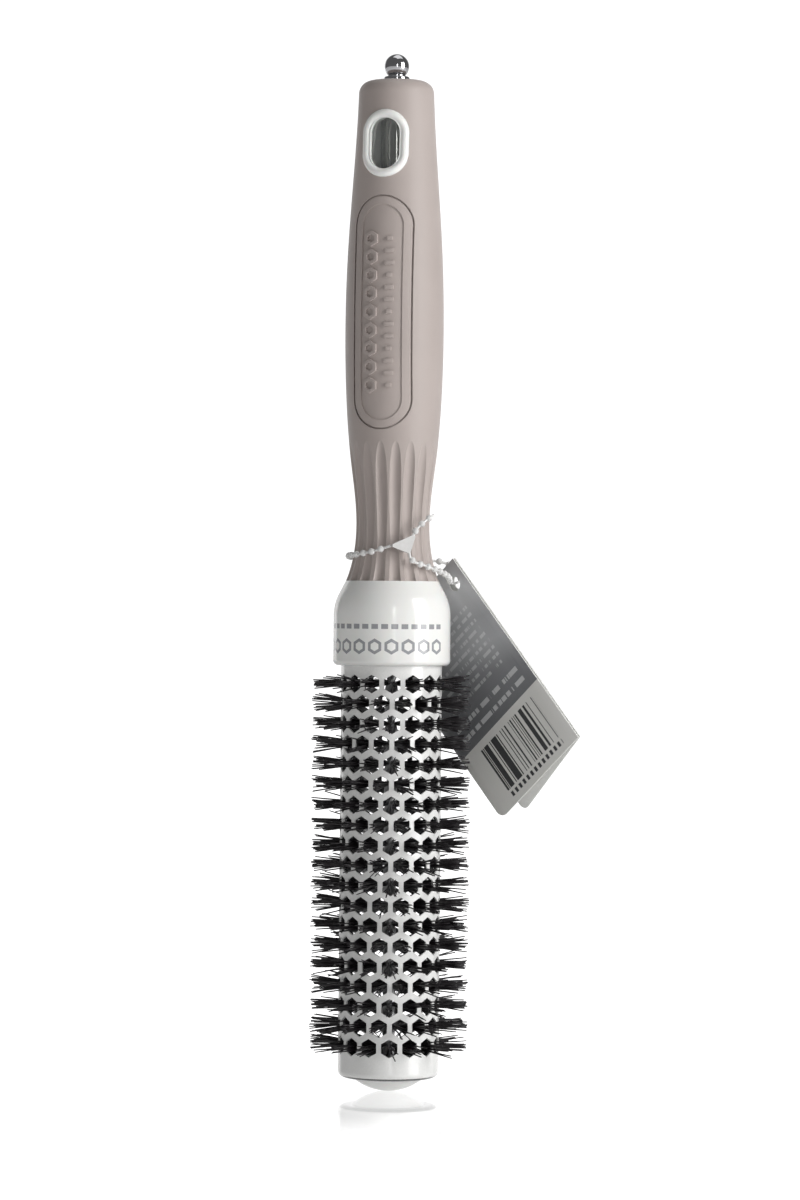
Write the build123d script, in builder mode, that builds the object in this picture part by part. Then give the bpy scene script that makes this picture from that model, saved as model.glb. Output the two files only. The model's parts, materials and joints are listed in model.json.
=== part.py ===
from build123d import *
import os
from math import cos, hypot, pi, radians, sin, tan

# A thermal round barrel brush, standing on the tip of its barrel with the handle up.
# Z is the brush's axis and -Y is the side of the handle that has the window. Millimetres.

# Barrel: a perforated aluminium tube, rolled in at the end
barrel_od = 25.0
barrel_wall = 1.0
barrel_length = 108.6
barrel_corner = 1.8
end_rim = 4.35

# Hexagonal holes, in staggered rows
hole_flats = 4.0
hole_web = 1.2
hole_rows = 19
first_row_gap = 4.45
last_row_height = 8.2
first_hole_angle = 18.0

# Tip cap: a shallow dome, snapped into the barrel's end
dome_height = 3.4
dome_rim = 0.85
cap_wall = 1.5
snap_length = 4.6
snap_lip = 0.3
snap_lead = 0.2
socket_floor_height = 0.4

# Bristles and the twisted wire that holds them
bristle_reach = 7.3
tuft_root_r = 0.3
tuft_root_gap = 0.15
tuft_hole_gap = 0.5
wire_d = 1.6
strand_gap = 0.02
wire_end_gap = 0.5
wire_in_plug = 9.0

# Barrel plug and collar
plug_length = 7.4
plug_shaft_length = 20.0
plug_shaft_wall = 0.9
collar_wall = 2.0
collar_overlap = 6.6
collar_length = 20.9
collar_taper = 5.7
collar_edge_r = 1.2
collar_shoulder_r = 12.0
tenon_step = 2.6

# Handle: a stiff core under a soft grip, shaped by radius and height above the collar
foot_d = 23.0
neck_d = 18.2
neck_height = 16.2
belly_d = 24.4
belly_height = 59.7
end_d = 18.7
end_draft = 0.1
end_corner = 3.2
end_corner_run = 0.8
inner_corner_min = 0.5
handle_length = 123.9
grip_thickness = 2.2
core_wall = 2.0
end_wall = 1.5
mouth_r = 3.4

# Flutes round the neck of the grip
flute_count = 18
flute_depth = 0.7
flute_width_r = 1.7
flute_arc_r = 62.0
flute_sweep = 25.0

# Label panel sunk in the grip
panel_width = 15.1
panel_start = 37.15
panel_window_gap = 4.4
panel_band = 2.3
panel_line = 0.45
panel_line_depth = 0.7
panel_depth = 0.3

# Window near the end of the handle
window_from_end = 16.3
bezel_width = 11.6
bezel_length = 16.7
bezel_band = 2.0
bezel_proud = 0.35
lens_rim = 0.6
lens_thickness = 1.2
lens_sunk = 1.2
bezel_guide_gap = 0.3

# Guide tube and sectioning pick
guide_bore = 6.0
guide_wall = 0.8
guide_floor = 13.0
guide_seat_length = 8.0
bush_length = 5.2
rod_d = 3.2
pick_travel = 65.0
stop_length = 5.0
rod_end_length = 0.8
rod_in_knob = 2.6
knob_d = 6.2
knob_neck_d = 4.4
knob_height = 6.8
flange_d = 6.4
flange_thickness = 1.1
flange_edge_r = 0.4
ring_section = 1.0

# Clearances
press_gap = 0.05
running_gap = 0.05
seat_gap = 0.05
wire_socket_gap = 0.1
shaft_end_gap = 0.2
ring_gap = 0.03

# Swing tag: a folded card on a beaded tie, hanging against the bristles of the top row
card_width = 34.0
card_length = 57.0
card_thickness = 0.35
card_corner_r = 2.3
card_gap = 0.3
card_opening = 13.0
card_tip_gap = 0.43
card_corner_place = (11.9, 13.4, 5.9)
card_fold_dir = Vector(0.618, -0.162, -0.769).normalized()
card_back_dir = Vector(0.396, 0.910, 0.127).normalized()
card_hole_d = 3.6
card_hole_down = 5.0
card_hole_in = 4.0
tie_d = 0.66
bead_d = 1.6
bead_pitch = 2.6
bead_hole_gap = 3.2
bead_lock_gap = 3.8
lock_thickness = 1.9
lock_corner_r = 0.5
lock_angle = 28.0
lock_r = 11.75
lock_height = 9.0

os.makedirs("parts", exist_ok=True)

# Heights and radii worked out from the sizes above
barrel_bottom = dome_height
barrel_top = barrel_bottom + barrel_length
collar_bottom = barrel_top - collar_overlap
collar_top = collar_bottom + collar_length
handle_top = collar_top + handle_length
window_z = handle_top - window_from_end
panel_length = window_z - bezel_length / 2 - panel_window_gap - collar_top - panel_start
panel_z = collar_top + panel_start + panel_length / 2
first_row_z = collar_bottom - first_row_gap
row_pitch = (first_row_z - barrel_bottom - last_row_height) / (hole_rows - 1)
holes_per_row = int(pi * barrel_od / (hole_flats + hole_web))
bush_bottom = handle_top - bush_length
guide_bottom = barrel_top + plug_shaft_length + guide_floor
stop_top = bush_bottom - pick_travel
barrel_r = barrel_od / 2
barrel_bore_r = barrel_r - barrel_wall
end_hole_r = barrel_r - end_rim
bristle_tip_r = barrel_r + bristle_reach
collar_r = barrel_r + collar_wall
foot_r = foot_d / 2
tenon_r = foot_r - tenon_step
shaft_r = neck_d / 2 - grip_thickness - plug_shaft_wall
guide_r = guide_bore / 2 + guide_wall
rod_r = rod_d / 2


def save(piece, label):
    """Label a finished piece and write it as a STEP file."""
    piece.part.label = label
    export_step(piece.part, f"parts/{label}.step")


def ring_profile(inner_r, outer_r, low, high):
    """Rectangle in the XZ plane that revolves into a tube."""
    with BuildSketch(Plane.XZ) as profile:
        with Locations(((inner_r + outer_r) / 2, (low + high) / 2)):
            Rectangle(outer_r - inner_r, high - low)
    return profile.sketch


def tube_section(inner_r, outer_r, low, high, mode=Mode.ADD):
    """Add or cut a tube about Z in the part being built."""
    if inner_r > 0:
        revolve(ring_profile(inner_r, outer_r, low, high), axis=Axis.Z, mode=mode)
    else:
        with Locations((0, 0, low)):
            Cylinder(outer_r, high - low, align=(Align.CENTER, Align.CENTER, Align.MIN), mode=mode)


def radial_plane(angle, radius, height):
    """Plane facing out from the axis, turned from -Y towards +X, with its x pointing up."""
    out = Vector(sin(radians(angle)), -cos(radians(angle)), 0)
    return Plane(origin=out * radius + Vector(0, 0, height), x_dir=(0, 0, 1), z_dir=out)


def row_height(row):
    return first_row_z - row * row_pitch


def row_angles(row):
    pitch = 360 / holes_per_row
    return [first_hole_angle + pitch * (i + 0.5 * (row % 2)) for i in range(holes_per_row)]


def blend(start, end, share):
    return start + (end - start) * share


def handle_side(inset):
    """Points down the handle's side, from its end to the collar, moved in by the inset."""
    neck_r, belly_r, end_r = neck_d / 2, belly_d / 2, end_d / 2
    shape = [
        (end_r, handle_length - end_corner - end_corner_run),
        (blend(belly_r, end_r, 0.696), blend(belly_height, handle_length, 0.693)),
        (blend(belly_r, end_r, 0.174), blend(belly_height, handle_length, 0.346)),
        (belly_r, belly_height),
        (blend(neck_r, belly_r, 0.87), blend(neck_height, belly_height, 0.66)),
        (blend(neck_r, belly_r, 0.48), blend(neck_height, belly_height, 0.317)),
        (neck_r, neck_height),
        (blend(neck_r, foot_r, 0.158), blend(0, neck_height, 0.475)),
        (foot_r, 0),
    ]
    return [(r - inset, collar_top + h) for r, h in shape]


def handle_solid(inset, top):
    """The handle's outer shape about Z, moved in by the inset, up to a flat top."""
    side = handle_side(inset)
    corner_r = max(end_corner - inset, inner_corner_min)
    with BuildPart() as shape:
        with BuildSketch(Plane.XZ):
            with BuildLine():
                Spline(side)
                FilletPolyline(side[0], (side[0][0] - end_draft, top), (0, top), radius=corner_r)
                Polyline((0, top), (0, side[-1][1]), side[-1])
            make_face()
        revolve(axis=Axis.Z)
    return shape.part


# Barrel tube
with BuildPart() as barrel_tube:
    with BuildSketch(Plane.XZ):
        with BuildLine():
            FilletPolyline(
                (end_hole_r, barrel_bottom), (barrel_r, barrel_bottom), (barrel_r, barrel_top),
                radius=barrel_corner,
            )
            FilletPolyline(
                (end_hole_r, barrel_bottom + barrel_wall),
                (barrel_bore_r, barrel_bottom + barrel_wall),
                (barrel_bore_r, barrel_top),
                radius=barrel_corner - barrel_wall,
            )
            Line((end_hole_r, barrel_bottom), (end_hole_r, barrel_bottom + barrel_wall))
            Line((barrel_r, barrel_top), (barrel_bore_r, barrel_top))
        make_face()
    revolve(axis=Axis.Z)
    hole_planes = [
        radial_plane(angle, barrel_bore_r - 1, row_height(row))
        for row in range(hole_rows)
        for angle in row_angles(row)
    ]
    with BuildSketch(*hole_planes):
        RegularPolygon(radius=hole_flats / 2, side_count=6, major_radius=False)
    extrude(amount=barrel_wall + 2, mode=Mode.SUBTRACT)
save(barrel_tube, "barrel_tube")

# Tip cap, with a hollow boss that snaps in behind the rolled end and a socket for the wire
dome_r = end_hole_r + dome_rim
cap_boss_r = end_hole_r - press_gap
wire_socket_r = wire_d + wire_socket_gap
socket_floor = barrel_bottom + socket_floor_height
wire_bottom = socket_floor + wire_end_gap
lip_z = barrel_bottom + barrel_wall + press_gap
with BuildPart() as tip_cap:
    with BuildSketch(Plane.XZ):
        with BuildLine():
            dome_bulge_r = (dome_r**2 + dome_height**2) / (2 * dome_height)
            RadiusArc((0, 0), (dome_r, dome_height), -dome_bulge_r)
            Polyline(
                (dome_r, dome_height),
                (cap_boss_r, dome_height),
                (cap_boss_r, lip_z),
                (cap_boss_r + snap_lip, lip_z + snap_lip),
                (cap_boss_r - snap_lead, dome_height + snap_length),
                (cap_boss_r - cap_wall, dome_height + snap_length),
                (cap_boss_r - cap_wall, dome_height),
                (wire_socket_r + cap_wall, dome_height),
                (wire_socket_r + cap_wall, dome_height + snap_length),
                (wire_socket_r, dome_height + snap_length),
                (wire_socket_r, socket_floor),
                (0, socket_floor),
                (0, 0),
            )
        make_face()
    revolve(axis=Axis.Z)
save(tip_cap, "tip_cap")

# Core wire: two strands twisted round each other, gripping one row at each half turn
plug_bottom = barrel_top - plug_length
wire_top = barrel_top + wire_in_plug
strand_offset = (wire_d + strand_gap) / 2
with BuildPart() as core_wire:
    for start in (1, -1):
        with BuildLine() as strand:
            Helix(
                pitch=2 * row_pitch,
                height=wire_top - wire_bottom,
                radius=strand_offset,
                center=(0, 0, wire_bottom),
            )
        path = strand.line if start > 0 else strand.line.rotate(Axis.Z, 180)
        with BuildSketch(Plane(origin=path @ 0, z_dir=path % 0)):
            Circle(wire_d / 2)
        sweep(path=path, is_frenet=True)
save(core_wire, "core_wire")

# Bristles: each tuft leaves the wire as a bundle, passes through its hole and spreads
tuft_start = wire_d + tuft_root_gap
tuft_at_wall_r = hole_flats / 2 - tuft_hole_gap
tuft_slope = (tuft_at_wall_r - tuft_root_r) / (barrel_r - tuft_start)
tuft_tip_r = tuft_root_r + tuft_slope * (bristle_tip_r - tuft_start)
for row in range(hole_rows):
    with BuildPart() as tufts:
        with Locations(*[radial_plane(angle, tuft_start, row_height(row)) for angle in row_angles(row)]):
            Cone(
                tuft_root_r,
                tuft_tip_r,
                bristle_tip_r - tuft_start,
                align=(Align.CENTER, Align.CENTER, Align.MIN),
            )
    save(tufts, f"bristle_row_{row + 1:02d}")

# Barrel plug: closes the barrel's open end and carries the barrel on the handle
with BuildPart() as barrel_plug:
    tube_section(wire_socket_r, barrel_bore_r - press_gap, plug_bottom, barrel_top)
    tube_section(wire_socket_r, shaft_r, barrel_top, barrel_top + plug_shaft_length)
    tube_section(0, wire_socket_r, wire_top + wire_end_gap, barrel_top + plug_shaft_length)
save(barrel_plug, "barrel_plug")

# Collar: glossy ring over the joint between barrel and handle
with BuildPart() as collar:
    with BuildSketch(Plane.XZ):
        with BuildLine():
            FilletPolyline(
                (barrel_r + press_gap, collar_bottom),
                (collar_r, collar_bottom),
                (collar_r, collar_top - collar_taper),
                (foot_r, collar_top),
                radius=[collar_edge_r, collar_shoulder_r],
            )
            Polyline(
                (foot_r, collar_top),
                (tenon_r + press_gap, collar_top),
                (tenon_r + press_gap, barrel_top + seat_gap),
                (barrel_r + press_gap, barrel_top + seat_gap),
                (barrel_r + press_gap, collar_bottom),
            )
        make_face()
    revolve(axis=Axis.Z)
save(collar, "collar")

# Window: a raised bezel round a clear lens, over the guide tube
window_plane = Plane(origin=(0, 0, window_z), x_dir=(0, 0, 1), z_dir=(0, -1, 0))
opening_width = bezel_width - 2 * bezel_band
opening_length = bezel_length - 2 * bezel_band
lens_width = opening_width + 2 * lens_rim
lens_length = opening_length + 2 * lens_rim
bezel_back = guide_r + bezel_guide_gap

with BuildPart() as lens_seat:
    with BuildSketch(window_plane.offset(bezel_back)):
        SlotOverall(lens_length + 2 * press_gap, lens_width + 2 * press_gap)
    extrude(amount=belly_d)
    add(handle_solid(lens_sunk, handle_top), mode=Mode.INTERSECT)

with BuildPart() as window_bezel:
    with BuildSketch(window_plane.offset(bezel_back)):
        SlotOverall(bezel_length, bezel_width)
        SlotOverall(opening_length, opening_width, mode=Mode.SUBTRACT)
    extrude(amount=belly_d)
    add(handle_solid(-bezel_proud, handle_top + 1), mode=Mode.INTERSECT)
    add(lens_seat.part, mode=Mode.SUBTRACT)
save(window_bezel, "window_bezel")

with BuildPart() as window_lens:
    with BuildSketch(window_plane.offset(bezel_back)):
        SlotOverall(lens_length, lens_width)
    extrude(amount=belly_d)
    add(handle_solid(lens_sunk + press_gap, handle_top), mode=Mode.INTERSECT)
    add(handle_solid(lens_sunk + press_gap + lens_thickness, handle_top), mode=Mode.SUBTRACT)
save(window_lens, "window_lens")

# Handle core: the stiff shell under the grip
core_top = handle_top - grip_thickness
shaft_top = barrel_top + plug_shaft_length + shaft_end_gap
with BuildPart() as core_cavity:
    add(handle_solid(grip_thickness + core_wall, core_top))
    tube_section(0, belly_d, collar_top - 1, guide_bottom + guide_seat_length, mode=Mode.SUBTRACT)
    tube_section(0, belly_d, bush_bottom - end_wall, handle_top, mode=Mode.SUBTRACT)

with BuildPart() as handle_core:
    add(handle_solid(grip_thickness, core_top))
    tube_section(0, tenon_r, barrel_top + seat_gap, collar_top)
    add(core_cavity.part, mode=Mode.SUBTRACT)
    tube_section(0, shaft_r + press_gap, barrel_top, shaft_top, mode=Mode.SUBTRACT)
    tube_section(0, guide_bore / 2, barrel_top, guide_bottom, mode=Mode.SUBTRACT)
    tube_section(0, guide_r + press_gap, guide_bottom, bush_bottom, mode=Mode.SUBTRACT)
    tube_section(0, mouth_r + press_gap, bush_bottom, handle_top, mode=Mode.SUBTRACT)
    with BuildSketch(window_plane.offset(guide_r)):
        SlotOverall(bezel_length + 2 * press_gap, bezel_width + 2 * press_gap)
    extrude(amount=belly_d, mode=Mode.SUBTRACT)
save(handle_core, "handle_core")


def panel_cutter(width, length, band, depth):
    """Ring, or whole slot when band is None, cut to a depth below the grip's surface."""
    panel_plane = Plane(origin=(0, 0, panel_z), x_dir=(0, 0, 1), z_dir=(0, -1, 0))
    with BuildPart() as cutter:
        with BuildSketch(panel_plane):
            SlotOverall(length, width)
            if band is not None:
                SlotOverall(length - 2 * band, width - 2 * band, mode=Mode.SUBTRACT)
        extrude(amount=belly_d)
        add(handle_solid(depth, handle_top), mode=Mode.SUBTRACT)
    return cutter.part


# Grip: the soft skin, with the window's opening, the label panel and the flutes
neck_z = collar_top + neck_height
flute_path_r = neck_d / 2 - flute_depth + flute_width_r
with BuildPart() as flute:
    with BuildLine(Plane.XZ) as flute_path:
        CenterArc((flute_path_r + flute_arc_r, neck_z), flute_arc_r, 180 - flute_sweep, 2 * flute_sweep)
    with BuildSketch(Plane(origin=flute_path.line @ 0, z_dir=flute_path.line % 0)):
        Circle(flute_width_r)
    sweep(path=flute_path.line)

with BuildPart() as grip:
    add(handle_solid(0, handle_top))
    add(handle_solid(grip_thickness, core_top), mode=Mode.SUBTRACT)
    tube_section(0, mouth_r + press_gap, core_top - 1, handle_top + 1, mode=Mode.SUBTRACT)
    with BuildSketch(window_plane):
        SlotOverall(bezel_length + 2 * press_gap, bezel_width + 2 * press_gap)
    extrude(amount=belly_d, mode=Mode.SUBTRACT)
    add(panel_cutter(panel_width, panel_length, panel_line, panel_line_depth), mode=Mode.SUBTRACT)
    inner_width = panel_width - 2 * panel_band
    inner_length = panel_length - 2 * panel_band
    add(panel_cutter(inner_width, inner_length, None, panel_depth), mode=Mode.SUBTRACT)
    with PolarLocations(0, flute_count, start_angle=180 / flute_count):
        add(flute.part, mode=Mode.SUBTRACT)
save(grip, "grip")

# Guide tube: the chromed tube that the pick slides in, seen through the window
with BuildPart() as guide_tube:
    tube_section(guide_bore / 2, guide_r, guide_bottom + seat_gap, bush_bottom - seat_gap)
save(guide_tube, "guide_tube")

# Bush in the handle's mouth, grooved for the friction ring
ring_r = rod_r + ring_gap + ring_section / 2
ring_z = bush_bottom + bush_length / 2
with BuildPart() as guide_bush:
    tube_section(rod_r + running_gap, mouth_r, bush_bottom, handle_top)
    groove_half = ring_section / 2 + press_gap
    tube_section(rod_r, ring_r + groove_half, ring_z - groove_half, ring_z + groove_half, mode=Mode.SUBTRACT)
save(guide_bush, "guide_bush")

with BuildPart() as friction_ring:
    with Locations((0, 0, ring_z)):
        Torus(ring_r, ring_section / 2)
save(friction_ring, "friction_ring")

# Sectioning pick: a rod with a ball knob outside and a stop ring inside
flange_bottom = handle_top + seat_gap
rod_top = handle_top + rod_in_knob
ball_z = handle_top + knob_height - knob_d / 2
with BuildPart() as pick_knob:
    tube_section(0, flange_d / 2, flange_bottom, flange_bottom + flange_thickness)
    fillet(pick_knob.edges().filter_by(GeomType.CIRCLE).sort_by(Axis.Z)[-1], radius=flange_edge_r)
    tube_section(0, knob_neck_d / 2, flange_bottom, ball_z)
    with Locations((0, 0, ball_z)):
        Sphere(knob_d / 2)
    tube_section(0, rod_r, flange_bottom - 1, rod_top, mode=Mode.SUBTRACT)
save(pick_knob, "pick_knob")

with BuildPart() as pick_rod:
    tube_section(0, rod_r, stop_top - stop_length - rod_end_length, rod_top)
save(pick_rod, "pick_rod")

with BuildPart() as pick_stop:
    tube_section(rod_r, guide_bore / 2 - running_gap, stop_top - stop_length, stop_top)
save(pick_stop, "pick_stop")

# Swing tag: two leaves of one card, joined along a fold that leans away from the brush
across_dir = card_back_dir.cross(card_fold_dir)
tip_reach = bristle_tip_r * hypot(card_back_dir.X, card_back_dir.Y)
tip_reach += (first_row_z + tuft_tip_r) * card_back_dir.Z
card_corner = Vector(*card_corner_place) + Vector(0, 0, collar_top)
card_corner += card_back_dir * (
    tip_reach + card_tip_gap + card_thickness + card_gap / 2 - card_corner.dot(card_back_dir)
)
card_hole_centre = card_corner + card_fold_dir * card_hole_down + across_dir * card_hole_in


def card_leaf(side, opening):
    """One leaf, on the front (side 1) or the back (side -1) of the fold, opened by an angle."""
    turn = Axis((0, 0, 0), card_fold_dir)
    across = across_dir.rotate(turn, opening)
    front = across.cross(card_fold_dir)
    near_face = card_gap / 2 if side > 0 else -card_gap / 2 - card_thickness
    leaf_plane = Plane(origin=card_corner, x_dir=across, z_dir=front).offset(near_face)
    with BuildPart() as leaf:
        with BuildSketch(leaf_plane):
            Rectangle(card_width, card_length, align=(Align.MIN, Align.MIN))
            with Locations((card_hole_in, card_hole_down)):
                Circle(card_hole_d / 2, mode=Mode.SUBTRACT)
        extrude(amount=card_thickness)
        free_edge = leaf.edges().filter_by(Axis((0, 0, 0), front)).sort_by(
            lambda edge: (edge.center() - card_corner).dot(across)
        )[-2:]
        fillet(free_edge, radius=card_corner_r)
    return leaf


front_leaf = card_leaf(1, 0)
save(front_leaf, "tag_front_leaf")
back_leaf = card_leaf(-1, card_opening)
save(back_leaf, "tag_back_leaf")

# Beaded tie: a thin cord in a loop, from its lock, round the neck and through the tag's hole.
# Heights are above the collar, and the points at the hole are measured from its centre.
tie_from_lock = [
    (2.9, -11.3, 8.6),
    (-0.9, -11.5, 7.3),
    (-6.2, -9.5, 6.5),
    (-10.0, -5.1, 6.2),
    (-11.3, 0.4, 6.0),
    (-9.9, 5.9, 5.7),
    (-6.0, 10.3, 5.3),
    (-1.0, 13.1, 5.3),
    (3.0, 14.9, 5.1),
    (7.6, 16.3, 5.3),
]
tie_at_hole = [(-0.77, 4.58, 3.65), (0.93, 2.68, 0.55), (-0.87, -2.02, -0.25)]
tie_to_lock = [
    (12.6, 7.6, 1.0),
    (12.9, 1.7, 2.0),
    (11.1, -4.9, 3.5),
    (6.8, -10.2, 5.1),
    (8.0, -9.3, 11.9),
    (10.3, -6.5, 14.9),
    (11.8, -4.3, 16.3),
]


def above_collar(points):
    return [Vector(x, y, collar_top + height) for x, y, height in points]


tie_points = above_collar(tie_from_lock)
tie_points += [card_hole_centre + Vector(*point) for point in tie_at_hole]
tie_points += above_collar(tie_to_lock)
tie_runs = [after - before for before, after in zip(tie_points, tie_points[1:])]
tie_radii = [
    0.45 * min(before.length, after.length) / tan(radians(before.get_angle(after) / 2))
    for before, after in zip(tie_runs, tie_runs[1:])
]
with BuildPart() as tie_string:
    with BuildLine() as tie_path:
        FilletPolyline(*tie_points, radius=tie_radii)
    with BuildSketch(Plane(origin=tie_path.line @ 0, z_dir=tie_path.line % 0)):
        Circle(tie_d / 2)
    sweep(path=tie_path.line)
save(tie_string, "tie_string")
tie_wire = tie_path.wire()
print("Tie radii, in order:", [round(radius, 1) for radius in tie_radii])
tie_section = pi * tie_d**2 / 4
print(f"Tie length {tie_wire.length:.1f}, volume over section {tie_string.part.volume / tie_section:.1f}")

# Lock: a flat three-cornered head that one end of the tie leaves and the other passes through
lock_plane = radial_plane(lock_angle, lock_r, collar_top + lock_height)
with BuildPart() as tie_lock:
    with BuildSketch(lock_plane.offset(-lock_thickness / 2)) as lock_face:
        with BuildLine():
            Polyline((-0.4, 3.3), (2.7, -3.5), (-2.3, -1.9), (-0.4, 3.3))
        make_face()
        fillet(lock_face.vertices(), radius=lock_corner_r)
    extrude(amount=lock_thickness)
save(tie_lock, "tie_lock")

# Beads, moulded on the tie, leaving out those that would sit in the lock or in the tag's hole
bead_centres = [
    tie_wire.position_at(i * bead_pitch / tie_wire.length)
    for i in range(1, int(tie_wire.length / bead_pitch) + 1)
]
with BuildPart() as tie_beads:
    with Locations(*[
        centre for centre in bead_centres
        if (centre - card_hole_centre).length > bead_hole_gap
        and (centre - lock_plane.origin).length > bead_lock_gap
    ]):
        Sphere(bead_d / 2)
save(tie_beads, "tie_beads")
print(f"Tag hole centre {card_hole_centre}, beads {len(tie_beads.solids())}")
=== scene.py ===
import json
import math
import random
import bpy
import numpy as np
from mathutils import Matrix, Vector


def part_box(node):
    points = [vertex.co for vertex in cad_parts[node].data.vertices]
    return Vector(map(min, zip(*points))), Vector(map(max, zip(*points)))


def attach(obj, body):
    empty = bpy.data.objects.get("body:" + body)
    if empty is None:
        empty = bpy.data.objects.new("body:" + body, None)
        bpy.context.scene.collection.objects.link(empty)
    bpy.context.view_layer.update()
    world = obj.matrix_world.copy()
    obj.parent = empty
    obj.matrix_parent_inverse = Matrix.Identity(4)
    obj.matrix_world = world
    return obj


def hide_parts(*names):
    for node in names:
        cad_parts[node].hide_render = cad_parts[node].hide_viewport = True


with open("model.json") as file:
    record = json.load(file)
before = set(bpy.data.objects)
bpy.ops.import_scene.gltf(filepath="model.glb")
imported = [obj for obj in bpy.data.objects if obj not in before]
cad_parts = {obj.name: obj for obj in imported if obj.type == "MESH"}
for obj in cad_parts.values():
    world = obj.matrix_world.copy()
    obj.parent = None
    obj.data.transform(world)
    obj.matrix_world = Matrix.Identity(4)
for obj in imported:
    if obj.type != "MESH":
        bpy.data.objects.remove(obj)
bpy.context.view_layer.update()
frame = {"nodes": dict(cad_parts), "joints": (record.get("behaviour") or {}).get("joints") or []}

# Round brush: the frame gives the hard pieces, this adds finishes, tufts, tie, tag and small marks.
scene = bpy.context.scene
nodes = frame["nodes"]
joints = {joint["name"]: joint for joint in frame["joints"]}
mm = 0.001


def hexColor(value):  # sRGB hex to the linear colour the shaders work in
    parts = [int(value[i:i + 2], 16) / 255 for i in (1, 3, 5)]
    return tuple(c / 12.92 if c <= 0.04045 else ((c + 0.055) / 1.055) ** 2.4 for c in parts) + (1,)


def addNode(tree, kind, inputs, output=0, **settings):  # adds a node and gives back one of its outputs
    node = tree.nodes.new("ShaderNode" + kind)
    for key, value in settings.items():
        setattr(node, key, value)
    for key, value in inputs.items():
        if isinstance(value, bpy.types.NodeSocket):
            tree.links.new(value, node.inputs[key])
        else:
            node.inputs[key].default_value = value
    return node.outputs[output]


def newMaterial(name):
    material = bpy.data.materials.new(name)
    material.use_nodes = True
    return material, material.node_tree, material.node_tree.nodes["Principled BSDF"]


def perMm(size):  # texture scale for features of this size in millimetres
    return 1000 / size


def deselectAll():
    if bpy.context.object and bpy.context.object.mode != "OBJECT":
        bpy.ops.object.mode_set(mode="OBJECT")
    bpy.ops.object.select_all(action="DESELECT")


def makeActive(obj):
    deselectAll()
    obj.select_set(True)
    bpy.context.view_layer.objects.active = obj


def applyModifiers(obj):
    makeActive(obj)
    for modifier in list(obj.modifiers):
        bpy.ops.object.modifier_apply(modifier=modifier.name)


def settle(obj):  # object to the origin, its place into its mesh
    makeActive(obj)
    bpy.ops.object.transform_apply(location=True, rotation=True, scale=True)


def copyPiece(obj, name, matrix):  # a copy with its own mesh, moved in that mesh
    copy = obj.copy()
    copy.data = obj.data.copy()
    copy.name = name
    copy.data.transform(matrix)
    scene.collection.objects.link(copy)
    return copy


def joinPieces(parts, name):
    deselectAll()
    for part in parts:
        part.select_set(True)
    bpy.context.view_layer.objects.active = parts[0]
    bpy.ops.object.join()
    joined = bpy.context.object
    joined.name = name
    joined.data.name = name
    return joined


def faceOutwards(obj):
    makeActive(obj)
    bpy.ops.object.mode_set(mode="EDIT")
    bpy.ops.mesh.select_all(action="SELECT")
    bpy.ops.mesh.remove_doubles(threshold=0.001 * mm)
    bpy.ops.mesh.normals_make_consistent(inside=False)
    bpy.ops.object.mode_set(mode="OBJECT")


def setMaterial(obj, material):
    obj.data.materials.clear()
    obj.data.materials.append(material)


# Camera: level, a little above half height, turned round from the window side
camera = {
    "azimuth": 17.0,
    "distance": 1.03,
    "height": 0.1216,
    "lens": 124.6,
    "shift": 0.0065,  # the brush stands a little left of the middle
    "roll": 0.5,      # degrees: the brush leans a little to the right
}
turn = math.radians(camera["azimuth"])
towardCamera = Vector((math.sin(turn), -math.cos(turn), 0))
toRight = Vector((math.cos(turn), math.sin(turn), 0))


def seen(right, height, near):  # a place by its distance right, up and towards the camera
    return toRight * right + Vector((0, 0, height)) + towardCamera * near


deselectAll()
bpy.ops.object.camera_add(location=seen(0, camera["height"], camera["distance"]))
cameraObject = bpy.context.object
level = (-towardCamera).to_track_quat("-Z", "Y").to_matrix()
cameraObject.rotation_euler = (level @ Matrix.Rotation(math.radians(camera["roll"]), 3, "Z")).to_euler()
cameraObject.data.lens = camera["lens"]
cameraObject.data.shift_x = camera["shift"]
cameraObject.data.clip_start = 0.01
scene.camera = cameraObject
print("camera ready")


# Polypropylene moulded milky clear: light glows through the small beads
def milkyPolypropylene():
    material, tree, shader = newMaterial("milkyPolypropylene")
    place = addNode(tree, "TexCoord", {}, "Object")
    cloud = addNode(tree, "TexNoise", {"Vector": place, "Scale": perMm(0.8), "Detail": 2.0}, "Fac")
    tone = addNode(tree, "Mix", {
        "Factor": cloud, "A": hexColor("#EEEDEB"), "B": hexColor("#FDFDFC")}, "Result", data_type="RGBA")
    tree.links.new(tone, shader.inputs["Base Color"])
    shader.inputs["Roughness"].default_value = 0.12
    shader.inputs["IOR"].default_value = 1.49
    shader.inputs["Transmission Weight"].default_value = 0.3
    return material


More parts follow.
